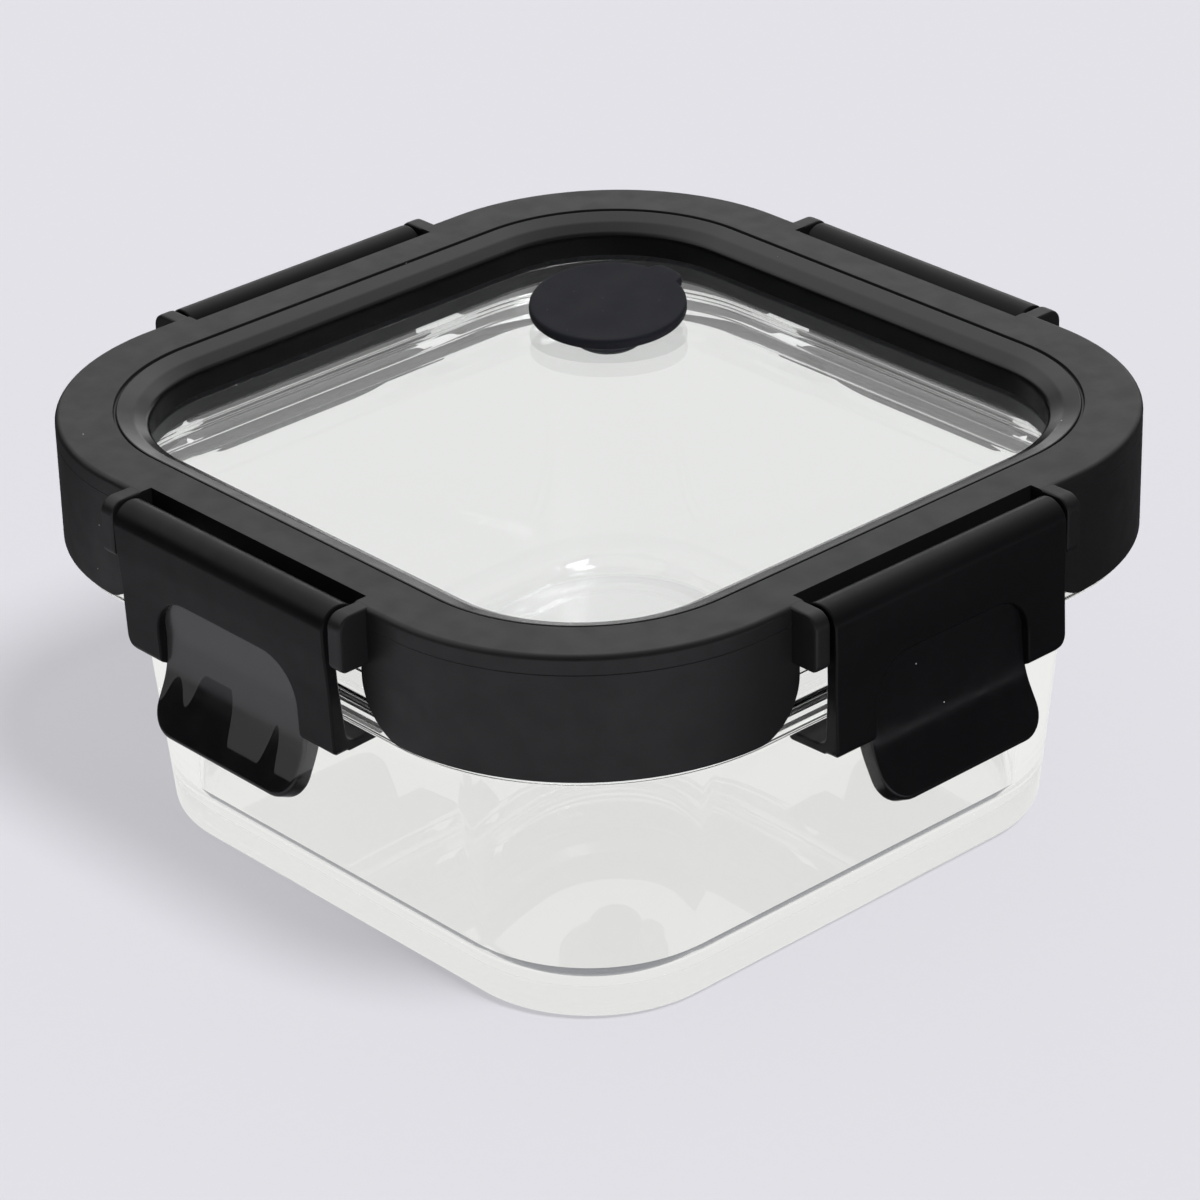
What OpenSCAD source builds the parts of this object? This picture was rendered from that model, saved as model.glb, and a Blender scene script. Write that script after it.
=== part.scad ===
// Square glass storage container with a clip-on lid.
// The glass base, the lid frame, its seal and its glazing all share one plan shape: a square
// whose four rounded corners have the same centres, so each ring is one section swept round it.
// A section is drawn as [distance out from the middle of a side, height above the foot].

/* [Overall] */
// Width of the lid frame over two opposite skirts
lid_w = 140; // [136:1:180]
// Height from the foot of the base to the top of the lid
total_h = 69; // [64:1:100]
// Outer corner radius of the lid frame in plan
corner_r = 37.5; // [34:0.5:38]

/* [Glass base] */
// Thickness of the base's wall
wall_t = 3.8; // [3:0.1:5]
// Thickness of the base's floor
floor_t = 3.5; // [3:0.5:8]
// How far the foot of the wall stands in from the lid's skirt
foot_inset = 14.7; // [12:0.1:18]
// How far the top of the wall stands in from the lid's skirt
shoulder_inset = 10.4; // [9:0.1:11.5]
// Outer radius where the wall turns into the foot
foot_r = 2.5; // [2:0.5:8]

/* [Lid] */
// Height of the lid's skirt
skirt_h = 20.2; // [19:0.1:21]
// Wall thickness of the skirt and its ribs
skirt_t = 1.6; // [1.4:0.1:1.8]
// Width of the frame from the skirt to the window
frame_w = 14.5; // [14:0.1:15]
// Depth of the window glass below the top of the frame
glazing_depth = 6; // [5:0.1:6.5]
// Thickness of the window glass
glazing_t = 3.5; // [3:0.1:3.8]

/* [Latches] */
// Length of each latch along its side
latch_l = 48; // [40:0.5:50]
// Width of the thumb tab on each latch
tab_w = 33; // [26:0.5:34]
// Radius of the hinge bar
bar_r = 1.7; // [1.4:0.1:2]
// Outer radius of the latch's hinge barrel
barrel_r = 3.4; // [3:0.1:3.6]
// Closed angle of the front and back latches, outwards positive
front_rest = -2.5; // [-3:0.5:2]
// Closed angle of the right and left latches, outwards positive
right_rest = 2; // [-3:0.5:2]

/* [Vent] */
// Distance of the vent from the middle of the lid, along each side
vent_at = 30.3; // [24:0.1:34]
// Radius of the vent plug's cap
cap_r = 12.8; // [9:0.1:14]
// Radius of the vent plug's neck
neck_r = 5; // [3.5:0.1:6]

/* [Hidden] */
$fn = 96;

half = lid_w / 2;                        // outer face of the skirt
mid = half - corner_r;                   // corner centres are at (+-mid, +-mid)
run_gap = 0.05;                          // radial clearance of a running fit
step = 15;                               // degrees between the points of a small arc

skirt_low = total_h - skirt_h;           // bottom edge of the skirt
skirt_in = half - skirt_t;               // inner face of the skirt
rib_out = half - 2.6;                    // outer face of the seal channel's rib, the latch slot's wall
rib_in = rib_out - skirt_t;
rib_low = total_h - 10;                  // bottom of the rib
web_t = 2;                               // thickness of the frame's top
window_o = half - frame_w;               // inner face of the frame's lip
well_out = window_o + 4.7;               // outer face of the wall round the glazing
well_in = well_out - skirt_t;
well_low = total_h - 11;
edge_r = 0.8;                            // rounding of the frame's edges

glass_top = total_h - glazing_depth;
glass_low = glass_top - glazing_t;
glass_o = well_in - 0.2;

rim_top = total_h - 5;                   // top of the base's rim
rim_out = rib_in - 0.6;
rim_in = well_out + 0.8;
rim_r = (rim_out - rim_in) / 2;
flange_o = skirt_in - 0.2;               // edge of the flange that the latches hook under
flange_low = skirt_low - 1.05;
flange_t = 2.3;

pivot_o = half + 2;                      // hinge bar's centre
pivot_z = total_h - barrel_r;
slot_half = latch_l / 2 + 0.7;           // half length of the slot that holds a latch
ear_t = 2.8;
ear_out = half + 5;
ear_low = total_h - 9;
skirt_end = slot_half + 1.2;             // where the skirt stops below an ear
skirt_end_r = 9;

plate_t = 2;
plate_low = total_h - 24;                // underside of a latch's hook
hook_t = 1.5;
hook_o = pivot_o - 7;                    // tip of the hook, under the flange
tab_low = total_h - 33.7;                // lowest edge of the thumb tab
tab_r = 4.5;                             // corner radius of the thumb tab
tip_r = 1.5;                             // rounding of its lower edge
recess_h = 12.4;                         // top of the thumb recess above the hook's underside

cap_t = 1.8;
cap_low = glass_top + 1.6;
vent_travel = 1.5;                       // how far the plug lifts to let steam out
bulb_top = glass_low - vent_travel - 0.1;
bulb_r = neck_r + 0.8;
bulb_h = 1.4;

glass_colour = [0.86, 0.91, 0.89, 0.35];
black = [0.16, 0.16, 0.17];
dark = [0.11, 0.11, 0.12];

// Points of an arc round (x, y), from angle a to angle b.
function arc(x, y, r, a, b) =
    let (n = max(2, round(abs(b - a) / step)))
    [for (i = [0 : n]) let (t = a + (b - a) * i / n) [x + r * cos(t), y + r * sin(t)]];

// Sweeps a section round the plan shape.
module ring(section) {
    for (turn = [0 : 90 : 270]) rotate([0, 0, turn]) {
        translate([mid, mid]) rotate_extrude(angle = 90) translate([-mid, 0]) polygon(section);
        side() linear_extrude(2 * mid, center = true) polygon(section);
    }
}

// Stands a flat [out, up] drawing upright on the front side, thick along X.
module side() {
    rotate([90, 0, -90]) children();
}

// Stands a flat [along, up] drawing upright on the front side, from distance a to distance b out.
module across(a, b) {
    translate([0, -a, 0]) rotate([90, 0, 0]) linear_extrude(b - a) children();
}

// Plan shape at distance o out from the middle of each side.
module plan(o) {
    square([2 * mid, 2 * o], center = true);
    square([2 * o, 2 * mid], center = true);
    for (x = [-mid, mid], y = [-mid, mid]) translate([x, y]) circle(o - mid);
}

// Base: floor, drafted wall, hooked-under flange and plain rim, all in one pressing.
module glass_base() {
    foot_o = half - foot_inset;
    shoulder_o = half - shoulder_inset;
    shoulder_z = flange_low - 2.8;
    in_r = 3;
    bead_o = skirt_in + 0.8;
    in_foot = foot_o - wall_t;
    color(glass_colour) union() {
        ring(concat(
            [[mid, 0]],
            arc(foot_o - foot_r, foot_r, foot_r, -90, 0),
            [[shoulder_o, shoulder_z], [shoulder_o + 0.7, shoulder_z + 1.6],
             [shoulder_o + 2.4, flange_low - 0.35], [hook_o - 1, flange_low],
             [bead_o - 0.3, flange_low], [bead_o, flange_low + 0.3],
             [bead_o - 0.2, flange_low + 0.8], [flange_o, flange_low + 0.9]],
            arc(flange_o - 0.6, flange_low + flange_t - 0.6, 0.6, 0, 90),
            [[rim_out + 0.7, flange_low + flange_t + 0.7], [rim_out, flange_low + flange_t + 1.8]],
            arc(rim_out - rim_r, rim_top - rim_r, rim_r, 0, 180),
            [[rim_in, flange_low + 5], [rim_in - 0.6, flange_low + 3.4],
             [shoulder_o - wall_t + 0.7, shoulder_z + 1.8], [shoulder_o - wall_t, shoulder_z]],
            arc(in_foot - in_r, floor_t + in_r, in_r, 0, -90),
            [[mid, floor_t]]));
        translate([-mid - 1, -mid - 1, 0]) cube([2 * mid + 2, 2 * mid + 2, floor_t]);
    }
}

// Section of the lid frame: skirt, top, sloped border, lip, glazing wall and seal channel.
function frame_section() = concat(
    [[skirt_in, skirt_low], [half - 0.3, skirt_low], [half, skirt_low + 0.3]],
    arc(half - edge_r, total_h - edge_r, edge_r, 0, 90),
    [[window_o + 5.2, total_h], [window_o + 4.9, total_h - 0.4],
     [window_o + 2.6, total_h - 1.2]],
    arc(window_o + edge_r, total_h - 2.6, edge_r, 80, 180),
    [[window_o, glass_top], [well_in, glass_top], [well_in, well_low], [well_out, well_low],
     [well_out, total_h - web_t], [rib_in, total_h - web_t], [rib_in, rib_low],
     [rib_out, rib_low], [rib_out, total_h - web_t], [skirt_in, total_h - web_t]]);

// Outline of the opening in the skirt below one latch slot, as [along, up].
module skirt_gap() {
    difference() {
        translate([-skirt_end - skirt_end_r, skirt_low - 1])
            square([2 * (skirt_end + skirt_end_r), ear_low - skirt_low + 1]);
        for (s = [-1, 1]) translate([s * (skirt_end + skirt_end_r), skirt_low + skirt_end_r]) {
            circle(skirt_end_r);
            translate([-skirt_end_r, 0]) square([2 * skirt_end_r, skirt_h]);
        }
    }
}

// Ear at each end of a latch slot, as [out, up].
module ear_outline() {
    polygon(concat(
        [[rib_in + 0.5, ear_low]],
        arc(ear_out - 1.8, ear_low + 1.8, 1.8, -90, 0),
        arc(ear_out - 2.4, total_h - 2.4, 2.4, 0, 90),
        [[rib_in + 0.5, total_h]]));
}

module lid_frame() {
    color(black) union() {
        difference() {
            ring(frame_section());
            for (turn = [0 : 90 : 270]) rotate([0, 0, turn]) {
                translate([-slot_half, -half - 1, skirt_low - 1])
                    cube([2 * slot_half, half + 1 - rib_out, skirt_h + 2]);
                across(rib_out + 0.4, half + 1) skirt_gap();
            }
        }
        for (turn = [0 : 90 : 270]) rotate([0, 0, turn]) {
            for (s = [-1, 1]) translate([s * (slot_half + ear_t / 2), 0, 0])
                side() linear_extrude(ear_t, center = true) ear_outline();
            translate([0, -pivot_o, pivot_z]) rotate([0, 90, 0])
                cylinder(h = 2 * slot_half + ear_t, r = bar_r, center = true);
        }
    }
}

// Ring that snaps in below and holds the window glass up against the lip.
module retaining_ring() {
    in_o = window_o + 0.7;
    color(black) ring([
        [in_o + 0.4, well_low - 1.2], [well_out - 0.1, well_low - 1.2],
        [well_out - 0.1, well_low - 0.1], [well_in - 0.05, well_low - 0.1],
        [well_in - 0.05, glass_low], [in_o, glass_low], [in_o, well_low - 0.8]]);
}

module lid_glass() {
    color(glass_colour) difference() {
        translate([0, 0, glass_low]) linear_extrude(glazing_t) plan(glass_o);
        translate([-vent_at, vent_at, glass_low - 1])
            cylinder(h = glazing_t + 2, r = neck_r + run_gap);
    }
}

// Seal in the frame's channel, with a bead that the base's rim presses on.
module lid_seal() {
    seal_mid = (rim_in + rim_out) / 2;
    top = total_h - web_t - 0.05;
    color(dark) ring(concat(
        [[well_out + 0.1, top], [well_out + 0.1, rim_top + 0.9], [well_out + 1.1, rim_top + 0.7]],
        arc(seal_mid, rim_top + 1, 1, 200, 340),
        [[rib_in - 1.1, rim_top + 0.7], [rib_in - 0.1, rim_top + 0.9], [rib_in - 0.1, top]]));
}

// Vent plug: cap with a pull tab, sealing lip, neck through the window glass, and a bulb below.
module vent_plug() {
    pull_w = 6.4;
    pull_out = cap_r + 1.8;
    color(dark) translate([-vent_at, vent_at, 0]) union() {
        rotate_extrude() polygon(concat(
            [[0, bulb_top - bulb_h], [bulb_r - 1.8, bulb_top - bulb_h]],
            arc(bulb_r - 0.4, bulb_top - 0.4, 0.4, -20, 90),
            [[neck_r, bulb_top], [neck_r, cap_low], [cap_r - 5.4, cap_low],
             [cap_r - 5, glass_top], [cap_r - 4.2, glass_top], [cap_r - 3.6, cap_low]],
            arc(cap_r - 0.7, cap_low + 0.7, 0.7, -90, 0),
            arc(cap_r - 0.7, cap_low + cap_t - 0.7, 0.7, 0, 90),
            [[0, cap_low + cap_t]]));
        translate([0, 0, cap_low + 0.3]) linear_extrude(cap_t - 0.3) {
            translate([-pull_w / 2, 0]) square([pull_w, pull_out - 1.5]);
            translate([1.5 - pull_w / 2, 0]) square([pull_w - 3, pull_out]);
            for (s = [-1, 1]) translate([s * (pull_w / 2 - 1.5), pull_out - 1.5]) circle(1.5);
        }
    }
}

// Barrel, plate and hook of a latch, as [out, up], for its full length.
module latch_plate() {
    face = pivot_o + barrel_r;
    translate([pivot_o, pivot_z]) circle(barrel_r);
    polygon(concat(
        [[face, pivot_z], [face, pivot_z - 4], [face - 0.3, pivot_z - 9]],
        arc(face - 2.1, plate_low + 1.2, 1.2, 0, -90),
        [[hook_o + 0.8, plate_low], [hook_o, plate_low + 0.7], [hook_o, plate_low + 0.9],
         [hook_o + 0.5, plate_low + hook_t]],
        arc(face - 4.6, plate_low + hook_t + 1.6, 1.6, -90, 0),
        [[face - 0.3 - plate_t, pivot_z - 9], [face - 0.2 - plate_t, pivot_z - 4],
         [pivot_o, pivot_z - barrel_r + 0.3], [pivot_o, pivot_z]]));
}

// Thumb recess and tab of a latch, as [out, up], for the width of the tab: a shallow step in below
// the barrel, then a face that curves out along the tab to its rounded lower edge.
module latch_tab() {
    face = pivot_o + barrel_r;
    top = plate_low + recess_h;
    polygon(concat(
        [[face - 0.9, top], [face - 1.4, top - 1], [face - 1.6, plate_low + 4.2],
         [face - 1.3, plate_low + 1.2], [face - 0.6, plate_low - 1.8],
         [face + 0.8, plate_low - 5.4]],
        [for (i = [0 : 3]) tip_centre() + tip_r * [cos(25 - 60 * i), sin(25 - 60 * i)]],
        [[face - 2.6, plate_low - 4.8], [face - 4, plate_low - 1], [face - 4.6, plate_low + 2],
         [face - 4.6, plate_low + 6], [face - 2.8, top]]));
}

function tip_centre() = [pivot_o + barrel_r + 1.5, tab_low + tip_r];

// Front outline of the thumb tab and recess, as [along, up].
module tab_outline() {
    w = tab_w / 2 - tab_r;
    for (s = [-1, 1]) {
        translate([s * w, tab_low + tab_r]) circle(tab_r);
        translate([s * w, plate_low + recess_h - tab_r]) circle(tab_r);
    }
    translate([-tab_w / 2, tab_low + tab_r])
        square([tab_w, plate_low + recess_h - tab_low - 2 * tab_r]);
    translate([-w, tab_low]) square([2 * w, plate_low + recess_h - tab_low]);
}

// One latch in place on the front side, turned by its closed angle about the hinge bar.
module latch(rest) {
    color(black)
    translate([0, -pivot_o, pivot_z]) rotate([-rest, 0, 0]) translate([0, pivot_o, -pivot_z])
    difference() {
        union() {
            difference() {
                side() linear_extrude(latch_l, center = true) latch_plate();
                across(pivot_o - 2, ear_out + 8) tab_outline();
            }
            intersection() {
                side() linear_extrude(tab_w, center = true) latch_tab();
                across(hook_o, ear_out + 8) tab_outline();
            }
            side() linear_extrude(tab_w, center = true) hook_root();
        }
        translate([0, -pivot_o, pivot_z]) rotate([0, 90, 0])
            cylinder(h = latch_l + 2, r = bar_r + run_gap, center = true);
        translate([-latch_l / 2 - 1, -pivot_o, pivot_z - 1.3]) cube([latch_l + 2, barrel_r + 1, 2.6]);
    }
}

// The hook carries on behind the thumb tab.
module hook_root() {
    translate([hook_o + 1, plate_low]) square([barrel_r + 4, hook_t]);
}

module front_latch() { latch(front_rest); }
module right_latch() { rotate([0, 0, 90]) latch(right_rest); }
module back_latch() { rotate([0, 0, 180]) latch(front_rest); }
module left_latch() { rotate([0, 0, 270]) latch(right_rest); }

glass_base();
lid_frame();
retaining_ring();
lid_glass();
lid_seal();
vent_plug();
front_latch();
right_latch();
back_latch();
left_latch();
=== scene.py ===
"""Square glass storage container with a clip-on lid: its looks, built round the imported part.

Everything stands in the part's own frame. Sizes here are in millimetres, and put() turns them
into metres. A section is drawn as (out, up): the distance out from the middle of a side, and
the height above the foot. Each ring sweeps one section round a square with rounded corners.
"""
import math

import bmesh
import bpy
from mathutils import Matrix, Vector


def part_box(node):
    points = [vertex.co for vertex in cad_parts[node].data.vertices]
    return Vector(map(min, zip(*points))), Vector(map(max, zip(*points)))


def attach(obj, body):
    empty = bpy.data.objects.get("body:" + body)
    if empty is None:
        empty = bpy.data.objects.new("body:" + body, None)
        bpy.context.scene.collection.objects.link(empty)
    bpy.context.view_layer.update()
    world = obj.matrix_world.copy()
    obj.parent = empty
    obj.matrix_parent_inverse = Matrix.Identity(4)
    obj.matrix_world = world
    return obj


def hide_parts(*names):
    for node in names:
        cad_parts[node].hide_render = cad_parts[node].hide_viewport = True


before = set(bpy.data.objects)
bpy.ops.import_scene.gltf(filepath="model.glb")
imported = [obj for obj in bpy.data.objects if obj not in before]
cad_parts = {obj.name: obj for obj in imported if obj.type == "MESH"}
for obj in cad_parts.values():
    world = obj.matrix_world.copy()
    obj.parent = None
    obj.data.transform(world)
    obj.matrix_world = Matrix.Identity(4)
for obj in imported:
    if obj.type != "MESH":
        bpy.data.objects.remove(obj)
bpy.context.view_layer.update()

MM = 0.001


def box_mm(node):
    """Lowest and highest corner of a CAD node, in millimetres."""
    low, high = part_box(node)
    return low / MM, high / MM


# ---------------------------------------------------------------- sizes, from the frame
frame_low, frame_high = box_mm("lid_frame")
base_high = box_mm("glass_base")[1]
window_low, window_high = box_mm("lid_glass")
vent_low, vent_high = box_mm("vent_plug")

TOP = frame_high.z
EAR_OUT = frame_high.x
HALF = EAR_OUT - 5  # outer face of the skirt
CORNER_R = 37.5  # its corner radius in plan
MID = HALF - CORNER_R  # every ring's corners are centred here
SKIRT_LOW = frame_low.z
SKIRT_T = 1.6
SKIRT_IN = HALF - SKIRT_T
RIB_OUT = HALF - 2.6  # wall behind each latch
RIB_IN = RIB_OUT - SKIRT_T
RIB_LOW = TOP - 10
WINDOW = HALF - 14.5  # inner face of the frame's lip
SLOPE_OUT = WINDOW + 5.2  # outer edge of the sloped border, where the thin groove starts
WELL_OUT = WINDOW + 4.7
WELL_IN = WELL_OUT - SKIRT_T
WELL_LOW = TOP - 11
FLANGE = base_high.x
FLANGE_LOW = SKIRT_LOW - 1.05
RIM_TOP = base_high.z
RIM_OUT = RIB_IN - 0.6
RIM_IN = WELL_OUT + 0.8
CEILING = TOP - 2  # underside of the frame's top, over the seal
FLOOR_T = 3.5
WALL_T = 3.8
FILLET_R = 5.5  # inside the base, between wall and floor
RECESS = 0.25  # hollow under the base's floor
LIFT = 0.03  # hair's breadth between the foot and the paper
FOOT = HALF - 14.7
SHOULDER = HALF - 10.4

PIVOT_OUT = HALF + 2
BARREL_R = 3.4
PIVOT_UP = TOP - BARREL_R
BAR_R = 1.7
LATCH_HALF = 24
SLOT_HALF = LATCH_HALF + 0.7
EAR_T = 2.8
EAR_LOW = TOP - 9
SKIRT_END = SLOT_HALF + 1.2
SKIRT_END_R = 9
HOOK_LOW = TOP - 24
HOOK_TIP = PIVOT_OUT - 7
LATCHES = {"front": (0, -2.5), "right": (90, 2), "back": (180, -2.5), "left": (270, 2)}

VENT = Vector((-30.3, 30.3, 0))
CAP_R = 12.8
NECK_R = 5

WINDOW_TOP = window_high.z
WINDOW_LOW = window_low.z
CAP_LOW = WINDOW_TOP + 1.6
BULB_TOP = WINDOW_LOW - 1.6
BULB_R = NECK_R + 0.8
CAP_STEPS = 144  # points round the cap
CAP_LEAN = math.tan(math.radians(6))  # the cap leans towards the middle of the lid
PULL = vent_high.y - VENT.y - CAP_R
PULL_HALF = 0.25  # half angle of the pull tab, in radians
TAB_HALF = 16.3
TAB_R = 4.5
TAB_LOW = TOP - 33.7
TAB_EDGE = 0.55  # radius of the sheet's edges
TAB_STEPS = 24  # points across the sheet
RECESS_TOP = HOOK_LOW + 12.4

# ---------------------------------------------------------------- light and camera settings
FLOOR_TONE = (0.776, 0.768, 0.815)  # the paper
GLASS_TONE = (0.80, 0.80, 0.79)  # paper and sky, as seen through glass
PAPER_GLOW = 0.45  # share of the paper that stays even, whatever light falls on it
SKY_LIGHT = 0.25  # sky on dull surfaces
GLASS_FLOOR = 1.06  # brightness of the paper seen through glass
GLASS_SKY = 1.15  # brightness of the sky seen through glass
GLASS_SHADE = 0.58  # share of the key light that each glass face lets through
UNDERSIDE_GLOW = 0.92 * GLASS_FLOOR  # painted glow of the stippled underside, which lies on the paper
UNDERSIDE_GLOW_SHARE = 0.8  # share of that underside that glows with painted light, standing for the paper it lies on
DIAGONAL = 0.707  # turns X and Y into ahead and right, as the photo's camera sees them
KEY_SPREAD = 18  # apparent width of the key light, in degrees
KEY_AZIMUTH, KEY_ELEVATION = 0, 54  # degrees from +X and above the paper
# sky and key together give level paper a brightness of 1
KEY_LIGHT = math.pi * (1 - SKY_LIGHT) / math.sin(math.radians(KEY_ELEVATION))
VIEW_AZIMUTH, VIEW_ELEVATION, VIEW_ROLL = 47.862, 27.600, -1.440  # degrees, fitted to the lid
VIEW_DISTANCE = 750  # camera to target
VIEW_TARGET = Vector((4.85, -4.83, 37.79))
LENS, SENSOR = 144.97, 36


# ---------------------------------------------------------------- mesh helpers
def make(name, verts, faces, index=0):
    """A new object from points in millimetres."""
    mesh = bpy.data.meshes.new(name)
    mesh.from_pydata([Vector(v) * MM for v in verts], [], faces)
    piece = bpy.data.objects.new(name, mesh)
    bpy.context.scene.collection.objects.link(piece)
    bm = bmesh.new()
    bm.from_mesh(mesh)
    bmesh.ops.remove_doubles(bm, verts=bm.verts, dist=1e-7)
    bmesh.ops.recalc_face_normals(bm, faces=bm.faces)
    for face in bm.faces:
        face.material_index = index
    bm.to_mesh(mesh)
    bm.free()
    return piece


def dress(piece, body, node, materials, sharp=32):
    """Shades a finished piece and puts it in its CAD node's place."""
    mesh = piece.data
    mesh.polygons.foreach_set("use_smooth", [True] * len(mesh.polygons))
    mesh.set_sharp_from_angle(angle=math.radians(sharp))
    mod = piece.modifiers.new("normals", "WEIGHTED_NORMAL")
    mod.keep_sharp = True
    mod.weight = 50
    bake(piece)
    indices = [face.material_index for face in piece.data.polygons]
    piece.data.materials.clear()
    for material in materials:
        piece.data.materials.append(material)
    piece.data.polygons.foreach_set("material_index", indices)
    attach(piece, body)
    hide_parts(node)


def bake(piece):
    """Applies every modifier of a piece."""
    bpy.context.view_layer.update()
    graph = bpy.context.evaluated_depsgraph_get()
    mesh = bpy.data.meshes.new_from_object(piece.evaluated_get(graph))
    piece.modifiers.clear()
    piece.data = mesh


def combine(piece, tools, operation):
    """Cuts tools from a piece or joins them to it."""
    group = bpy.data.collections.new("tools")
    bpy.context.scene.collection.children.link(group)
    for tool in tools:
        group.objects.link(tool)
    mod = piece.modifiers.new("combine", "BOOLEAN")
    mod.operation = operation
    mod.solver = "EXACT"
    mod.operand_type = "COLLECTION"
    mod.collection = group
    bake(piece)
    for tool in tools:
        bpy.data.objects.remove(tool)
    bpy.data.collections.remove(group)


def soften(piece, width, segments=2, angle=40):
    """Rounds the outward edges of a piece by a small radius."""
    bm = bmesh.new()
    bm.from_mesh(piece.data)
    bmesh.ops.dissolve_degenerate(bm, edges=bm.edges, dist=1e-6)
    weight = bm.edges.layers.float.new("bevel_weight_edge")
    for edge in bm.edges:
        if edge.is_manifold and edge.calc_face_angle_signed() > math.radians(angle):
            edge[weight] = 1
    bm.to_mesh(piece.data)
    bm.free()
    mod = piece.modifiers.new("edges", "BEVEL")
    mod.width = width * MM
    mod.segments = segments
    mod.limit_method = "WEIGHT"
    mod.use_clamp_overlap = False
    bake(piece)


def rounded(corners, closed=True, step=10):
    """A line through (x, y, radius) corners, each turned by an arc of its radius."""
    points = []
    last = len(corners) - 1
    for i, (x, y, r) in enumerate(corners):
        here = Vector((x, y))
        if r <= 0 or (not closed and i in (0, last)):
            points.append(here)
            continue
        before = (Vector(corners[i - 1][:2]) - here).normalized()
        after = (Vector(corners[(i + 1) % len(corners)][:2]) - here).normalized()
        turn = math.pi - before.angle(after)
        reach = r * math.tan(turn / 2)
        centre = here + (before + after).normalized() * math.hypot(r, reach)
        spoke = here + before * reach - centre
        way = turn if before.cross(after) < 0 else -turn
        n = max(2, math.ceil(math.degrees(turn) / step))
        points += [centre + Matrix.Rotation(way * k / n, 2) @ spoke for k in range(n + 1)]
    return points


def arc(x, y, r, start, stop, step=7.5):
    """Points along an arc, with its angles in degrees."""
    n = max(1, round(abs(stop - start) / step))
    angles = [math.radians(start + (stop - start) * k / n) for k in range(n + 1)]
    return [Vector((x + r * math.cos(a), y + r * math.sin(a))) for a in angles]


def stations(corner_steps=28, side_steps=6):
    """(origin, outward direction) pairs once round the plan's rounded square."""
    found = []
    for quarter in range(4):
        turn = Matrix.Rotation(quarter * math.pi / 2, 2)
        centre = turn @ Vector((MID, MID))
        following = Matrix.Rotation(math.pi / 2, 2) @ centre
        for k in range(corner_steps + 1):
            angle = math.pi / 2 * (quarter + k / corner_steps)
            way = Vector((math.cos(angle), math.sin(angle)))
            found.append((centre, way))
        for k in range(1, side_steps):
            found.append((centre.lerp(following, k / side_steps), way))
    return found


def ring_points(section):
    """One row of (x, y, up) points for each station of the plan."""
    return [[(*(origin + way * (p[0] - MID)), p[1]) for p in section]
            for origin, way in stations()]


def sweep(name, section, closed=True, **kw):
    """A section swept round the plan. An open section's two ends are closed by level faces."""
    rows = ring_points(section)
    return loft(name, rows, wrap_rows=True, wrap_points=closed, **kw)


def loft(name, rows, wrap_rows=False, wrap_points=True, caps=True, **kw):
    """Skins rows of points. Open ends get a face of their own."""
    n, m = len(rows), len(rows[0])
    verts = [p for row in rows for p in row]
    faces = []
    for i in range(n if wrap_rows else n - 1):
        for a in range(m if wrap_points else m - 1):
            j, b = (i + 1) % n, (a + 1) % m
            faces.append((i * m + a, j * m + a, j * m + b, i * m + b))
    if caps and not wrap_points:
        faces.append([i * m for i in range(n)])
        faces.append([i * m + m - 1 for i in range(n)])
    if caps and not wrap_rows:
        faces.append(range(m))
        faces.append(range((n - 1) * m, n * m))
    return make(name, verts, faces, **kw)


def bar(name, outline, low, high, **kw):
    """An (out, up) outline on the front side, thick along X from low to high."""
    rows = [[(x, -p[0], p[1]) for p in outline] for x in (low, high)]
    return loft(name, rows, **kw)


def slab(name, outline, low, high, **kw):
    """An (along, up) outline on the front side, thick from low to high outwards."""
    rows = [[(p[0], -out, p[1]) for p in outline] for out in (low, high)]
    return loft(name, rows, **kw)


def turned(piece, degrees):
    """A piece turned about the part's own upright axis."""
    piece.data.transform(Matrix.Rotation(math.radians(degrees), 4, "Z"))
    return piece


def outwards(p):
    """Distance of p out from the middle of the nearest side, round the corners too."""
    x, y = abs(p.x), abs(p.y)
    if min(x, y) > MID:
        return MID + math.hypot(x - MID, y - MID)
    return max(x, y)


# ---------------------------------------------------------------- nodes
class Graph:
    """Adds nodes to a tree. Each input is a value, or the socket that feeds it."""

    def __init__(self, tree):
        tree.nodes.clear()
        self.tree = tree

    def __call__(self, kind, inputs=None, out=0, **settings):
        """Adds one node and returns that one of its outputs."""
        made = self.tree.nodes.new("ShaderNode" + kind)
        for key, value in settings.items():
            setattr(made, key, value)
        for key, value in (inputs or {}).items():
            if isinstance(value, bpy.types.NodeSocket):
                self.tree.links.new(value, made.inputs[key])
            else:
                made.inputs[key].default_value = value
        return made.outputs[out] if made.outputs else made

    def maths(self, operation, *values):
        """One sum on numbers."""
        return self("Math", dict(enumerate(values)), operation=operation)

    def ramp(self, value, low, high, to_low=0.0, to_high=1.0):
        """Maps low..high smoothly to to_low..to_high."""
        inputs = {"Value": value, "From Min": low, "From Max": high,
                  "To Min": to_low, "To Max": to_high}
        return self("MapRange", inputs, interpolation_type="SMOOTHSTEP")

    def mix(self, share, a, b):
        """Colour a, with that share of colour b."""
        inputs = {"Factor": share, 6: a, 7: b}
        return self("Mix", inputs, out=2, data_type="RGBA")

    def noise(self, where, size_mm, detail=2):
        """Soft noise with patches of about that size."""
        inputs = {"Vector": where, "Scale": 1000 / size_mm, "Detail": detail}
        return self("TexNoise", inputs)

    def bump(self, height, depth_mm, normal=None):
        """A normal bumped by that depth, on top of another one if given."""
        inputs = {"Height": height, "Distance": depth_mm * MM, "Strength": 1}
        if normal:
            inputs["Normal"] = normal
        return self("Bump", inputs)


def material(name):
    """A new material and the graph that fills it."""
    made = bpy.data.materials.new(name)
    made.use_nodes = True
    return made, Graph(made.node_tree)


def grey(value):
    """A neutral colour."""
    return (value, value, value, 1)


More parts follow.
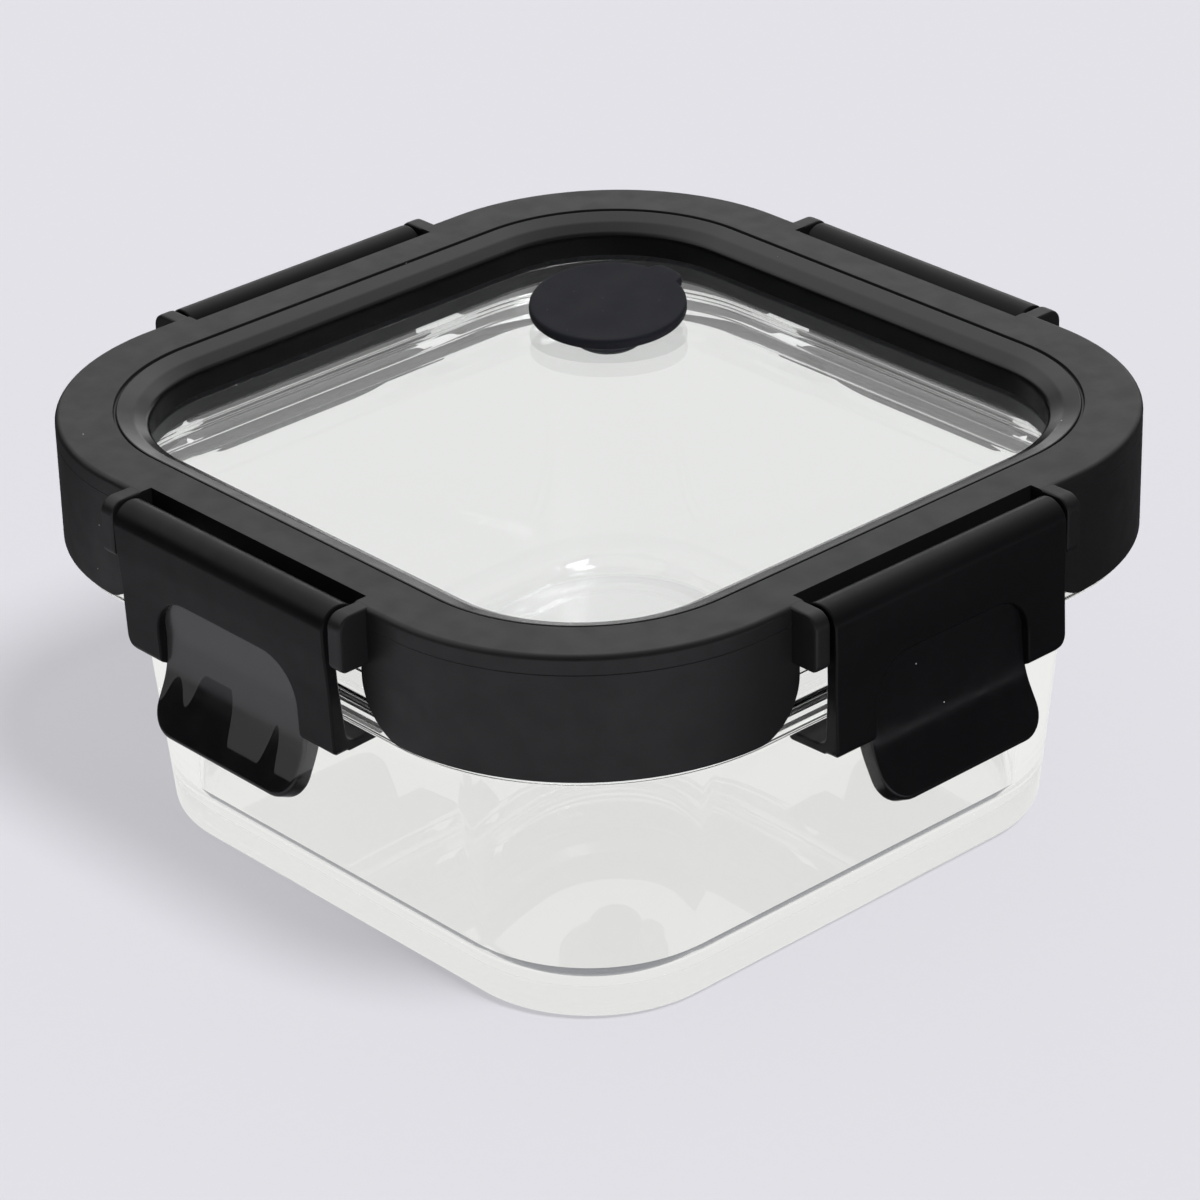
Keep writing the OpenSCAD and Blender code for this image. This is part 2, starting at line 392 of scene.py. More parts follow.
def varied(tone, low, high):
    """The darkest and lightest colour round a tone."""
    return (*[c * low for c in tone], 1), (*[c * high for c in tone], 1)


# ---------------------------------------------------------------- materials
PLASTIC_IOR, SILICONE_IOR, GLASS_IOR = 1.49, 1.42, 1.5
SPECK_CELL = 5  # millimetres from one speck of dust to the next
LINT_CELL = 2.5  # the same for lint on silicone
REFLECTION_RUN = 9  # millimetres across one run of the painted reflection


def painted_reflection_runs(g, where):
    """Share of painted reflection on the front latch's tab, a lighter grey: whole at the top, in runs
    lower down.
    """
    parts = g("SeparateXYZ", {0: where}).node.outputs
    waves = g("TexNoise", {"W": parts[0], "Scale": 1000 / REFLECTION_RUN, "Detail": 1}, noise_dimensions="1D")
    reach = g.ramp(waves, 0.40, 0.60, (TAB_LOW + 11) * MM, (TAB_LOW + 3) * MM)
    above = g.maths("SUBTRACT", parts[2], reach)
    front = g.maths("LESS_THAN", parts[1], (1 - PIVOT_OUT) * MM)
    return g.maths("MULTIPLY", g.ramp(above, -0.2 * MM, 0.2 * MM), front)


def moulded(name, shade, rough, grain, wave=0.02, specks=1.0, level=0.5, reflection_grey=0.0):
    """Injection-moulded black plastic: spark-eroded grain, slight sink, a few dust specks."""
    made, g = material(name)
    where = g("TexCoord", out="Object")
    broad = g.noise(where, 14, 3)
    fine = g.noise(where, 0.22, 2)
    worn = g.noise(where, 4, 4)
    cells = g("TexVoronoi", {"Vector": where, "Scale": 1000 / SPECK_CELL}, out="Distance")
    chance = g("TexVoronoi", {"Vector": where, "Scale": 1000 / SPECK_CELL}, out="Color")
    picked = g.maths("GREATER_THAN", g("SeparateColor", {0: chance}), 1 - 0.35 * specks)
    speck = g.maths("MULTIPLY", picked, g.maths("LESS_THAN", cells, 0.022))
    tone = g.mix(broad, *varied(shade, 0.8, 1.25))
    tone = g.mix(speck, tone, grey(0.55))
    # painted reflection: lighter grey runs on the front tab
    if reflection_grey:
        tone = g.mix(painted_reflection_runs(g, where), tone, grey(reflection_grey))
    roughness = g.ramp(worn, 0.2, 0.8, rough - 0.05, rough + 0.06)
    normal = g.bump(broad, wave)
    normal = g.bump(fine, grain, normal)
    shader = g("BsdfPrincipled", {"Base Color": tone, "Roughness": roughness, "IOR": PLASTIC_IOR,
                                  "Specular IOR Level": level, "Normal": normal})
    g("OutputMaterial", {"Surface": shader})
    return made


def silicone(name, shade, rough):
    """Soft black silicone: a very matt skin with lint and a faint sheen."""
    made, g = material(name)
    where = g("TexCoord", out="Object")
    cloud = g.noise(where, 6, 4)
    fine = g.noise(where, 0.12, 2)
    tone = g.mix(cloud, *varied(shade, 0.75, 1.4))
    lint = g("TexVoronoi", {"Vector": where, "Scale": 1000 / LINT_CELL}, out="Distance")
    tone = g.mix(g.maths("LESS_THAN", lint, 0.03), tone, grey(0.12))
    shader = g("BsdfPrincipled", {"Base Color": tone, "IOR": SILICONE_IOR, "Sheen Weight": 0.03,
                                  "Specular IOR Level": 0.2,
                                  "Roughness": g.ramp(cloud, 0.2, 0.8, rough - 0.06, rough + 0.06),
                                  "Normal": g.bump(fine, 0.02)})
    g("OutputMaterial", {"Surface": shader})
    return made


def clear_glass(name, tint, ripple, frost_and_glow=0.0, painted_shade=None):
    """Pressed glass. Shadow and diffuse rays pass straight through it.

    Real glass traps light in the thick foot. Two stand-ins depend on the side of a face that a ray
    meets:
    painted shade darkens it from within the glass, and the stippled underside, which is also
    frosted, glows with painted light from within the glass, standing for the paper it lies on.
    """
    made, g = material(name)
    where = g("TexCoord", out="Object")
    normal = g.bump(g.noise(where, 30, 0), ripple)
    within = g("NewGeometry", out="Backfacing")
    height = g("SeparateXYZ", {0: where}, out=2)
    stippled = g.maths("LESS_THAN", height, (RECESS + 0.1) * MM)
    # painted shade: a darker tone where a ray meets the face from within the glass
    tone = g.mix(within, tint, painted_shade or tint)
    shader = g("BsdfPrincipled", {"Base Color": tone, "IOR": GLASS_IOR, "Normal": normal,
                                  "Roughness": g.maths("MULTIPLY", stippled, frost_and_glow),
                                  "Transmission Weight": 1})
    # painted glow on the stippled underside, seen from within the glass; the frost itself is real
    # roughness
    if frost_and_glow:
        painted_glow = g("Emission", {"Color": (*GLASS_TONE, 1), "Strength": UNDERSIDE_GLOW})
        share = g.maths("MULTIPLY", g.maths("MULTIPLY", stippled, within), UNDERSIDE_GLOW_SHARE)
        shader = g("MixShader", {0: share, 1: shader, 2: painted_glow})
    through = g("BsdfTransparent", {"Color": tint})
    shade = g("BsdfTransparent", {"Color": grey(GLASS_SHADE)})
    rays = g("LightPath").node.outputs
    shader = g("MixShader", {0: rays["Is Diffuse Ray"], 1: shader, 2: through})
    shader = g("MixShader", {0: rays["Is Shadow Ray"], 1: shader, 2: shade})
    g("OutputMaterial", {"Surface": shader})
    return made


SATIN = moulded("frame_plastic", (0.006, 0.006, 0.0065), 0.44, 0.012)
LATCH = moulded("latch_plastic", (0.004, 0.004, 0.0045), 0.33, 0.008, level=0.16)
# the polished plastic carries a painted reflection on the front tab
GLOSS = moulded("polished_plastic", (0.004, 0.004, 0.0045), 0.20, 0.0, specks=0.6, reflection_grey=0.05)
# darker, less shiny copy of the frame's plastic: painted shade on the wall below the lip
SHADED_WALL = moulded("wall_painted_shade", (0.002, 0.002, 0.002), 0.5, 0.01, level=0.08)
RING = moulded("ring_plastic", (0.012, 0.012, 0.013), 0.40, 0.012)
SEAL = silicone("seal_rubber", (0.02, 0.02, 0.022), 0.62)
VENT_SKIN = silicone("vent_rubber", (0.0085, 0.0088, 0.0125), 0.60)
BASE_TINT = (0.996, 0.998, 0.992, 1)
# the frosted underside also glows with painted light
BASE_GLASS = clear_glass("base_glass", BASE_TINT, 0.02, frost_and_glow=0.35)
# the inner fillet: painted shade, seen from within the glass
FILLET_GLASS = clear_glass("fillet_glass", BASE_TINT, 0.02, painted_shade=(0.08, 0.085, 0.10, 1))
WINDOW_GLASS = clear_glass("window_glass", (0.90, 0.912, 0.915, 1), 0.0)


# ---------------------------------------------------------------- lid frame
def frame_section():
    """Skirt, flat top, polished slope, lip, glazing wall and seal channel."""
    line = TOP - 3  # parting line of the mould
    return rounded([
        (SKIRT_IN, SKIRT_LOW, 0.25), (HALF, SKIRT_LOW, 0.35),
        (HALF, line - 0.09, 0), (HALF - 0.07, line, 0), (HALF, line + 0.09, 0),
        (HALF, TOP, 0.9),
        (SLOPE_OUT + 0.4, TOP, 0.15), (SLOPE_OUT + 0.25, TOP - 0.5, 0.05),
        (SLOPE_OUT, TOP - 0.5, 0.05), (SLOPE_OUT - 0.2, TOP - 0.12, 0.2),
        (WINDOW + 2.4, TOP - 0.98, 3), (WINDOW, TOP - 2.3, 1.3),
        (WINDOW, WINDOW_TOP, 0.1), (WELL_IN, WINDOW_TOP, 0), (WELL_IN, WELL_LOW, 0.3),
        (WELL_OUT, WELL_LOW, 0.3), (WELL_OUT, CEILING, 0.3), (RIB_IN, CEILING, 0.3),
        (RIB_IN, RIB_LOW, 0.3), (RIB_OUT, RIB_LOW, 0.3), (RIB_OUT, CEILING, 0.3),
        (SKIRT_IN, CEILING, 0.3)])


def skirt_gap():
    """(along, up) outline of the opening in the skirt below a latch."""
    wide = SKIRT_END + SKIRT_END_R
    low = SKIRT_LOW - 1
    right = arc(wide, SKIRT_LOW + SKIRT_END_R, SKIRT_END_R, 270, 180, 5)
    left = arc(-wide, SKIRT_LOW + SKIRT_END_R, SKIRT_END_R, 0, -90, 5)
    return [Vector((-wide, low)), Vector((wide, low)), *right,
            Vector((SKIRT_END, EAR_LOW)), Vector((-SKIRT_END, EAR_LOW)), *left]


def ear(end):
    """The block at one end of a latch slot that holds the hinge bar."""
    top = TOP - 0.04
    outline = rounded([(RIB_IN + 0.5, EAR_LOW, 0), (EAR_OUT, EAR_LOW, 1.2),
                       (EAR_OUT, top, 2.3), (RIB_IN + 0.5, top, 0)])
    ends = sorted((end * (SLOT_HALF - 0.04), end * (SLOT_HALF + EAR_T)))
    piece = bar("ear", outline, *ends)
    soften(piece, 0.42, 3)
    return piece


def frame_cuts(quarter):
    """One latch's slot through the rim, and the wider gap in the skirt below it."""
    slot = [(-SLOT_HALF, SKIRT_LOW - 1), (SLOT_HALF, SKIRT_LOW - 1),
            (SLOT_HALF, TOP + 1), (-SLOT_HALF, TOP + 1)]
    tools = [slab("slot", slot, RIB_OUT, HALF + 1),
             slab("gap", skirt_gap(), RIB_OUT + 0.4, HALF + 1.5)]
    return [turned(tool, quarter * 90) for tool in tools]


def hinge(quarter):
    """The two ears and the hinge bar of one latch."""
    ends = SLOT_HALF + EAR_T / 2
    rod = bar("rod", arc(PIVOT_OUT, PIVOT_UP, BAR_R, 0, 352.5), -ends, ends)
    return [turned(piece, quarter * 90) for piece in (ear(-1), ear(1), rod)]


def paint_frame(piece):
    """A darker, duller copy of the plastic as painted shade on the wall down to the glass, a polished
    slope round it, and satin elsewhere.
    """
    for face in piece.data.polygons:
        middle = face.center / MM
        out = outwards(middle)
        # painted shade: the wall below the lip
        if out < WINDOW + 0.1 and WINDOW_TOP - 0.1 < middle.z < TOP - 2.4:
            face.material_index = 2
        elif out < SLOPE_OUT and middle.z > WINDOW_TOP - 0.1:
            face.material_index = 1
        else:
            face.material_index = 0


def lid_frame():
    """One moulding: top ring, slope, skirt, ears and hinge bars."""
    piece = sweep("lid_frame_shell", frame_section())
    combine(piece, [tool for k in range(4) for tool in frame_cuts(k)], "DIFFERENCE")
    combine(piece, [part for k in range(4) for part in hinge(k)], "UNION")
    soften(piece, 0.22)
    paint_frame(piece)
    dress(piece, "lid", "lid_frame", [SATIN, GLOSS, SHADED_WALL])


# ---------------------------------------------------------------- rings and glass
def retaining_ring():
    """Holds the window glass up against the frame's lip."""
    inner = WINDOW + 0.7
    section = rounded([
        (inner, WELL_LOW - 1.2, 0.4), (WELL_OUT - 0.1, WELL_LOW - 1.2, 0.3),
        (WELL_OUT - 0.1, WELL_LOW - 0.1, 0.2), (WELL_IN - 0.05, WELL_LOW - 0.1, 0),
        (WELL_IN - 0.05, WINDOW_LOW, 0.1), (inner, WINDOW_LOW, 0.2)])
    piece = sweep("glazing_ring", section)
    dress(piece, "lid", "retaining_ring", [RING])


def lid_seal():
    """Fills the channel under the frame's top, with a groove for the rim of the base."""
    top = CEILING - 0.05
    middle = (RIM_IN + RIM_OUT) / 2
    section = [Vector(p) for p in ((WELL_OUT + 0.1, top), (WELL_OUT + 0.1, RIM_TOP + 0.9),
                                   (WELL_OUT + 1.1, RIM_TOP + 0.7))]
    section += arc(middle, RIM_TOP + 1, 1, 200, 340, 14)
    section += [Vector(p) for p in ((RIB_IN - 1.1, RIM_TOP + 0.7), (RIB_IN - 0.1, RIM_TOP + 0.9),
                                    (RIB_IN - 0.1, top))]
    piece = sweep("seal_gasket", section)
    dress(piece, "lid", "lid_seal", [SEAL])


def lid_glass():
    """The window, with a round hole for the vent."""
    edge = window_high.x
    section = rounded([
        (MID + 2, WINDOW_LOW, 0), (edge, WINDOW_LOW, 0.4), (edge, WINDOW_TOP, 0.4),
        (MID + 2, WINDOW_TOP, 0)], closed=False)
    piece = sweep("window_pane", section, closed=False)
    hole = [(*p, up) for up in (WINDOW_LOW - 1, WINDOW_TOP + 1)
            for p in arc(VENT.x, VENT.y, NECK_R + 0.05, 0, 354, 6)]
    half = len(hole) // 2
    combine(piece, [loft("hole", [hole[:half], hole[half:]])], "DIFFERENCE")
    dress(piece, "lid", "lid_glass", [WINDOW_GLASS])


def glass_base():
    """One pressing: thick floor, drafted wall, flange under the latches and plain rim."""
    step_up = FLANGE_LOW - 2.8
    rim_r = (RIM_OUT - RIM_IN) / 2
    top = FLANGE_LOW + 2.3
    lip = SKIRT_IN - 0.2
    section = rounded([
        (MID + 2, RECESS, 0), (FOOT - 9, RECESS, 2), (FOOT - 7.5, LIFT, 2), (FOOT, LIFT, 2.5),
        (SHOULDER, step_up, 6), (SHOULDER + 0.9, step_up + 1.8, 1.5),
        (HOOK_TIP - 1.4, FLANGE_LOW, 1.5), (FLANGE, FLANGE_LOW, 0.4),
        (FLANGE, FLANGE_LOW + 0.85, 0.35), (lip, FLANGE_LOW + 0.9, 0.05),
        (lip, top, 0.9), (RIM_OUT, top + 0.9, 1), (RIM_OUT, RIM_TOP, rim_r * 0.98),
        (RIM_IN, RIM_TOP, rim_r * 0.98), (RIM_IN, FLANGE_LOW + 4.6, 3),
        (SHOULDER - WALL_T, step_up + 1.2, 5), (FOOT - WALL_T, FLOOR_T, FILLET_R),
        (MID + 2, FLOOR_T, 0)], closed=False)
    piece = sweep("container_glass", section, closed=False)
    # the inner fillet's faces take the glass with painted shade
    corner = FOOT - WALL_T
    for face in piece.data.polygons:
        middle = face.center / MM
        near = corner - 3 < outwards(middle) < corner + 0.8
        if near and FLOOR_T + 0.2 < middle.z < FLOOR_T + FILLET_R + 0.2:
            face.material_index = 1
    dress(piece, "base", "glass_base", [BASE_GLASS, FILLET_GLASS])


# ---------------------------------------------------------------- vent plug
def cap_outline(inset):
    """(x, y) round the cap, with its pull tab towards the back."""
    found = []
    for k in range(CAP_STEPS):
        a = 2 * math.pi * k / CAP_STEPS
        away = abs(math.remainder(a - math.pi / 2, 2 * math.pi))
        bulge = PULL * max(0, 1 - (away / PULL_HALF) ** 4) ** 0.5
        r = CAP_R + bulge - inset
        found.append((VENT.x + r * math.cos(a), VENT.y + r * math.sin(a)))
    return found


def cap_rows():
    """Rows of points over the cap, from its dished top to its lower edge."""
    low, high = CAP_LOW, vent_high.z
    profile = ((8, high - 0.1), (4, high - 0.1), (1.2, high - 0.08), (0.5, high - 0.03),
               (0.22, high - 0.12), (0.06, high - 0.3), (0, high - 0.6), (0, low + 0.5),
               (0.1, low + 0.25), (0.35, low + 0.08), (0.8, low))
    return [[(*p, up) for p in cap_outline(inset)] for inset, up in profile]


def stem_rows():
    """Round rows of points down the sealing lip, the neck and the bulb."""
    low = CAP_LOW
    rings = [(CAP_R - 3.6, low), (CAP_R - 4.2, WINDOW_TOP), (CAP_R - 5, WINDOW_TOP),
             (CAP_R - 5.4, low), (NECK_R + 0.4, low), (NECK_R, low - 0.4),
             (NECK_R, BULB_TOP + 0.06), (NECK_R + 0.2, BULB_TOP),
             (BULB_R - 0.3, BULB_TOP), (BULB_R - 0.05, BULB_TOP - 0.12),
             (BULB_R, BULB_TOP - 0.4), (BULB_R - 0.6, BULB_TOP - 0.9),
             (BULB_R - 1.3, vent_low.z + 0.08), (BULB_R - 1.9, vent_low.z)]
    angles = [2 * math.pi * k / CAP_STEPS for k in range(CAP_STEPS)]
    return [[(VENT.x + r * math.cos(a), VENT.y + r * math.sin(a), up) for a in angles]
            for r, up in rings]


def lean(point, inward):
    """Tips what is above the window glass, and keeps it out of the glass."""
    if point.z >= WINDOW_TOP:
        tipped = point.z - CAP_LEAN * (point - VENT).dot(inward)
        point.z = max(tipped, WINDOW_TOP)
    return point


def vent_plug():
    """Silicone steam vent: cap, sealing lip, neck through the glass and bulb below it."""
    inward = (-VENT).normalized()
    rows = [[lean(Vector(p), inward) for p in row] for row in cap_rows() + stem_rows()]
    piece = loft("vent_stopper", rows)
    dress(piece, "vent", "vent_plug", [VENT_SKIN])


# ---------------------------------------------------------------- latches
def plate_section():
    """(out, up) section of barrel, plate and hook."""
    face = PIVOT_OUT + BARREL_R
    lip = math.degrees(math.asin(1.3 / BARREL_R))
    bore = BAR_R + 0.05
    mouth = math.degrees(math.asin(1.3 / bore))
    inner = face - 2.2
    join = -math.degrees(math.acos((inner - PIVOT_OUT) / BARREL_R))
    plate = rounded([
        (face, PIVOT_UP, 0), (face, PIVOT_UP - 4, 30), (face - 0.3, PIVOT_UP - 10, 30),
        (face - 0.3, HOOK_LOW, 1.2), (HOOK_TIP, HOOK_LOW, 0.7), (HOOK_TIP, HOOK_LOW + 1.5, 0.7),
        (face - 3, HOOK_LOW + 1.5, 1.6), (face - 2.3, PIVOT_UP - 9, 6), (inner, PIVOT_UP - 4, 3),
        (inner, PIVOT_UP - 3.2, 0)], closed=False)
    return (arc(PIVOT_OUT, PIVOT_UP, BARREL_R, 180 - lip, 6) + plate[1:-1]
            + arc(PIVOT_OUT, PIVOT_UP, BARREL_R, join, lip - 180)
            + arc(PIVOT_OUT, PIVOT_UP, bore, mouth - 180, 180 - mouth))


class Sheet:
    """The curved sheet of thumb recess and tab, which adds points across, along and below."""

    def __init__(self):
        face = PIVOT_OUT + BARREL_R
        self.line = rounded([
            (face - 1.15, RECESS_TOP + 1, 0), (face - 1.75, HOOK_LOW + 5, 12),
            (face - 1.3, HOOK_LOW - 0.8, 14), (face + 3.1, TAB_LOW + 0.2, 0)],
            closed=False, step=5)
        self.reach = [0]
        for a, b in zip(self.line, self.line[1:]):
            self.reach.append(self.reach[-1] + (b - a).length)
        self.total = self.reach[-1]
        self.verts = []

    def slope(self, i):
        """Direction out of the face at one point of its line."""
        run = self.line[min(i + 1, len(self.line) - 1)] - self.line[max(i - 1, 0)]
        return Vector((-run.y, run.x)).normalized()

    def at(self, s, depth):
        """(out, up) of the point s along the face and that far out of it."""
        i = max(k for k in range(len(self.line) - 1) if self.reach[k] <= s + 1e-9)
        run = self.line[i + 1] - self.line[i]
        share = (s - self.reach[i]) / run.length
        away = self.slope(i).lerp(self.slope(i + 1), share).normalized()
        return self.line[i] + run * share + away * depth

    def thick(self, s):
        """Thin at the top of the recess, and full from half way down."""
        return 1.05 + 2.1 * min(1, s / (self.total * 0.5))

    def place(self, x, s, depth):
        """Adds a point and returns its number."""
        out, up = self.at(min(s, self.total), depth)
        self.verts.append((x, -out, up))
        return len(self.verts) - 1


def tab_rows(total):
    """(along, half width, way out) down one side of the sheet and round its lower corner."""
    straight = total - TAB_R
    flat = TAB_HALF - TAB_R
    inner = TAB_R - TAB_EDGE
    rows = [(straight * k / 36, TAB_HALF - TAB_EDGE, Vector((1, 0))) for k in range(36)]
    for k in range(10):
        a = math.radians(k * 10)
        rows.append((straight + inner * math.sin(a), flat + inner * math.cos(a),
                     Vector((math.cos(a), math.sin(a)))))
    return rows


def tab_border(rows):
    """(across, along, way out) down one side, across the lower edge and up the other side."""
    flat = TAB_HALF - TAB_R
    low = rows[-1][0]
    border = [(-w, s, Vector((-way.x, way.y))) for s, w, way in rows]
    border += [(-flat + 2 * flat * k / TAB_STEPS, low, Vector((0, 1)))
               for k in range(1, TAB_STEPS)]
    border += [(w, s, way) for s, w, way in reversed(rows)]
    return border


def tab_rim(sheet, border, behind):
    """Loops of point numbers round the front half of the sheet's rounded edge, or the back."""
    loops = []
    for angle in (0, 22.5, 45, 67.5, 90):
        bulge = TAB_EDGE * math.sin(math.radians(angle))
        depth = TAB_EDGE * (1 - math.cos(math.radians(angle)))
        loops.append((bulge, depth))
    if behind:
        loops.reverse()
    return [[sheet.place(x + way.x * bulge, s + way.y * bulge,
                         depth - sheet.thick(s) if behind else -depth)
             for x, s, way in border] for bulge, depth in loops]


def tab_grid(sheet, rows, loop, behind):
    """Rows of point numbers that fill one loop from side to side."""
    grid = []
    for j, (s, w, _) in enumerate(rows):
        if j < len(rows) - 1:
            depth = -sheet.thick(s) if behind else 0
            across = [-w + 2 * w * k / TAB_STEPS for k in range(1, TAB_STEPS)]
            filled = [sheet.place(x, s, depth) for x in across]
        else:
            filled = loop[j + 1:j + TAB_STEPS]
        grid.append([loop[j], *filled, loop[-1 - j]])
    return grid


def strips(lines):
    """Faces between neighbouring lines of point numbers."""
    return [(one[i], one[i + 1], two[i + 1], two[i])
            for one, two in zip(lines, lines[1:]) for i in range(len(one) - 1)]


def tongue():
    """Thumb recess and tab: one curved sheet with rounded edges, polished."""
    sheet = Sheet()
    rows = tab_rows(sheet.total)
    border = tab_border(rows)
    loops = tab_rim(sheet, border, False) + tab_rim(sheet, border, True)
    front = tab_grid(sheet, rows, loops[0], False)
    back = tab_grid(sheet, rows, loops[-1], True)
    left = [loop[0] for loop in loops[1:-1]]
    right = [loop[-1] for loop in loops[1:-1]]
    top = [*front[0], *right, *back[0][::-1], *left[::-1]]
    return make("tongue", sheet.verts, [*strips(loops), *strips(front), *strips(back), top], index=1)


def thumb_window():
    """Cuts the opening in the plate that the sheet fills."""
    half = TAB_HALF - 0.3
    outline = rounded([(-half, HOOK_LOW - 3, 0), (half, HOOK_LOW - 3, 0),
                       (half, RECESS_TOP, 7), (-half, RECESS_TOP, 7)])
    return slab("window", outline, PIVOT_OUT + 0.3, EAR_OUT + 5)


def plate_trim(end, r):
    """Rounds one lower corner of the plate by the radius r."""
    side = end * (LATCH_HALF + 1)
    outline = [Vector((side, HOOK_LOW - 1)), Vector((end * (LATCH_HALF - r), HOOK_LOW - 1))]
    outline += [Vector((end * p.x, p.y)) for p in
                arc(LATCH_HALF - r, HOOK_LOW + r, r, -90, 0, 9)]
    outline.append(Vector((side, HOOK_LOW + r)))
    return slab("trim", outline, PIVOT_OUT + 0.4, EAR_OUT + 5)


def latch(side):
    """Barrel, plate, hook, thumb recess and tab of one latch, at its closed angle."""
    quarter, rest = LATCHES[side]
    square = 1 if quarter % 180 == 0 else -1  # end with the squarer corner
    piece = bar(side + "_latch_clip", plate_section(), -LATCH_HALF, LATCH_HALF)
    trims = [plate_trim(end, 0.9 if end == square else 2.6) for end in (-1, 1)]
    combine(piece, [thumb_window(), *trims], "DIFFERENCE")
    piece.data.materials.clear()
    sheet = tongue()
    for part in (piece, sheet):
        part.data.materials.append(LATCH)
        part.data.materials.append(GLOSS)
    combine(piece, [sheet], "UNION")
    soften(piece, 0.36, 3)
    pivot = Vector((0, -PIVOT_OUT, PIVOT_UP)) * MM
    tilt = Matrix.Rotation(math.radians(-rest), 4, "X")
    piece.data.transform(Matrix.Translation(pivot) @ tilt @ Matrix.Translation(-pivot))
    turned(piece, quarter)
    dress(piece, side + "_latch_body", side + "_latch", [LATCH, GLOSS])


# ---------------------------------------------------------------- floor, light, camera
def painted_paper_reflection(g, where):
    """Painted reflection of the paper, which glossy rays see: light in front, dark beyond the right
    side.
    """
    x, y, _ = g("SeparateXYZ", {0: where}).node.outputs
    ahead = g.maths("MULTIPLY", g.maths("SUBTRACT", x, y), DIAGONAL)
    right = g.maths("MULTIPLY", g.maths("ADD", x, y), DIAGONAL)
    patch = g.ramp(right, -0.32, -0.24, 0.02, 0.65)
    sides = g.ramp(right, -0.10, 0.0, patch, 0.03)
    sides = g.ramp(ahead, -0.08, 0.03, 0.10, sides)
    return g.ramp(ahead, 0.08, 0.17, sides, 0.85)


def add_floor():
    """Pale seamless paper, with a painted reflection for glossy rays and an answer of its own for rays
    through glass.
    """
    made, g = material("floor_paper")
    where = g("TexCoord", out="Object")
    path = g("LightPath").node.outputs
    clear = g.maths("MAXIMUM", path["Is Singular Ray"], path["Is Transmission Ray"])
    mottle = g.mix(g.noise(where, 2, 3), *varied(FLOOR_TONE, 0.985, 1))
    paper = g("BsdfDiffuse", {"Color": mottle})
    even = g("Emission", {"Color": mottle})
    plain = g("MixShader", {0: PAPER_GLOW, 1: paper, 2: even})
    # painted reflection: the paper as glossy rays see it
    painted_reflection = g("Emission", {"Color": (*FLOOR_TONE, 1), "Strength": painted_paper_reflection(g, where)})
    lit = g("Emission", {"Color": (*GLASS_TONE, 1), "Strength": GLASS_FLOOR})
    shader = g("MixShader", {0: path["Is Glossy Ray"], 1: plain, 2: painted_reflection})
    shader = g("MixShader", {0: clear, 1: shader, 2: lit})
    shader = g("MixShader", {0: path["Is Camera Ray"], 1: shader, 2: plain})
    g("OutputMaterial", {"Surface": shader})
    wide = 4000
    rows = [[(x, y, 0) for x in (-wide, wide)] for y in (-wide, wide)]
    floor = loft("floor", rows, wrap_points=False, caps=False)
    floor.data.materials.append(made)


def painted_room(g):
    """Brightness of the studio in reflections: bright overhead, on the left and far behind."""
    x, y, z = g("SeparateXYZ", {0: g("TexCoord", out="Generated")}).node.outputs
    height = g.ramp(z, 0.30, 0.62, 0.02, 1.05)
    left = g.maths("SUBTRACT", g.maths("MULTIPLY", y, 0.35), x)
    side = g.ramp(left, -0.6, 0.75, 0.10, 1.0)
    far = g.maths("MULTIPLY", g.ramp(y, 0.1, 0.7, 0.0, 1.1), g.ramp(x, -0.5, 0.1, 1.0, 0.0))
    low = g.ramp(z, 0.10, 0.45, 1.0, 0.25)
    return g.maths("ADD", g.maths("MULTIPLY", height, side), g.maths("MULTIPLY", far, low))


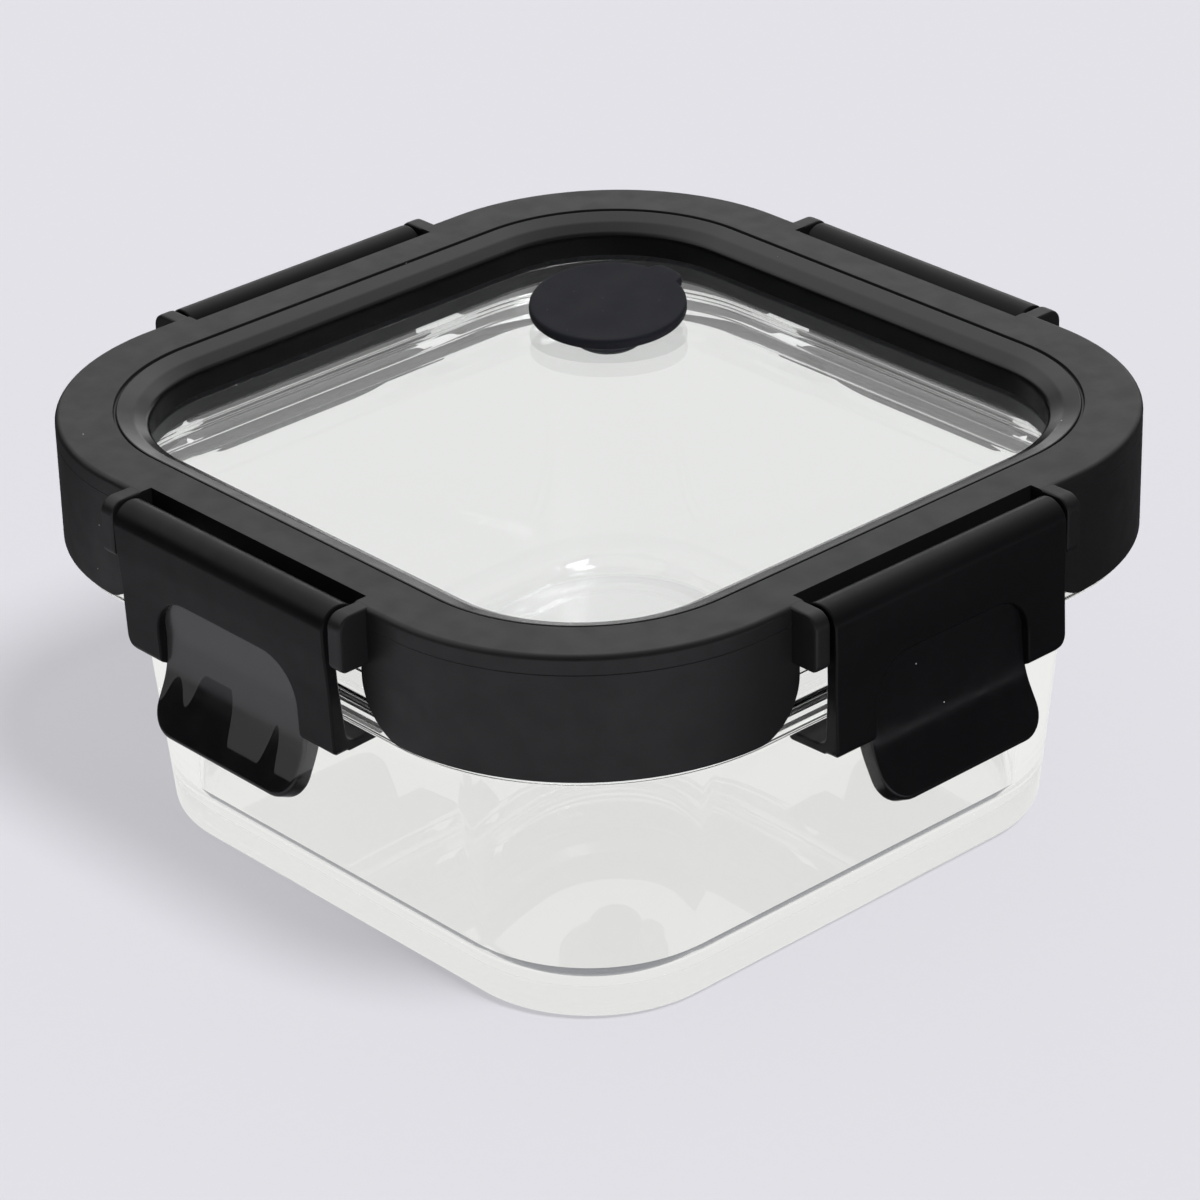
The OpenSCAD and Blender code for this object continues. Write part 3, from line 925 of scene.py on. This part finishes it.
def add_sky():
    """Even soft light, with a painted studio for the reflections."""
    world = bpy.data.worlds.new("studio")
    world.use_nodes = True
    bpy.context.scene.world = world
    g = Graph(world.node_tree)
    white = grey(1)
    path = g("LightPath").node.outputs
    even = g("Background", {"Color": white, "Strength": SKY_LIGHT})
    seen = g("Background", {"Color": white, "Strength": painted_room(g)})
    bright = g("Background", {"Color": (*GLASS_TONE, 1), "Strength": GLASS_SKY})
    clear = g.maths("MAXIMUM", path["Is Singular Ray"], path["Is Transmission Ray"])
    shader = g("MixShader", {0: path["Is Glossy Ray"], 1: even, 2: seen})
    g("OutputWorld", {"Surface": g("MixShader", {0: clear, 1: shader, 2: bright})})


def add_key():
    """Large soft key light over the +X side. Only the base stands in its way."""
    data = bpy.data.lights.new("key", "SUN")
    data.energy = KEY_LIGHT
    data.angle = math.radians(KEY_SPREAD)
    key = bpy.data.objects.new("key", data)
    key.visible_glossy = False
    blockers = bpy.data.collections.new("key_blockers")
    blockers.objects.link(bpy.data.objects["container_glass"])
    key.light_linking.blocker_collection = blockers
    a, e = math.radians(KEY_AZIMUTH), math.radians(KEY_ELEVATION)
    towards = Vector((math.cos(a) * math.cos(e), math.sin(a) * math.cos(e), math.sin(e)))
    key.rotation_mode = "QUATERNION"
    key.rotation_quaternion = towards.to_track_quat("Z", "Y")
    bpy.context.scene.collection.objects.link(key)


def add_camera():
    """Camera at the photo's viewing angle."""
    a, e, r = (math.radians(v) for v in (VIEW_AZIMUTH, VIEW_ELEVATION, VIEW_ROLL))
    back = Vector((math.sin(a) * math.cos(e), -math.cos(a) * math.cos(e), math.sin(e)))
    right = Vector((math.cos(a), math.sin(a), 0))
    up = back.cross(right)
    tilted = right * math.cos(r) + up * math.sin(r)
    upright = up * math.cos(r) - right * math.sin(r)
    data = bpy.data.cameras.new("camera")
    data.lens = LENS
    data.sensor_width = SENSOR
    data.clip_start = 0.01
    data.clip_end = 50
    camera = bpy.data.objects.new("camera", data)
    axes = Matrix((tilted, upright, back)).transposed().to_4x4()
    camera.matrix_world = Matrix.Translation((VIEW_TARGET + back * VIEW_DISTANCE) * MM) @ axes
    bpy.context.scene.collection.objects.link(camera)
    bpy.context.scene.camera = camera


lid_frame()
retaining_ring()
lid_seal()
lid_glass()
glass_base()
vent_plug()
for side_name in LATCHES:
    latch(side_name)
add_floor()
add_sky()
add_key()
add_camera()

bpy.context.scene.view_settings.view_transform = "Standard"
# enough bounces for a ray to leave the thick glass
bpy.context.scene.cycles.max_bounces = 32
bpy.context.scene.cycles.glossy_bounces = 24
bpy.context.scene.cycles.transmission_bounces = 32
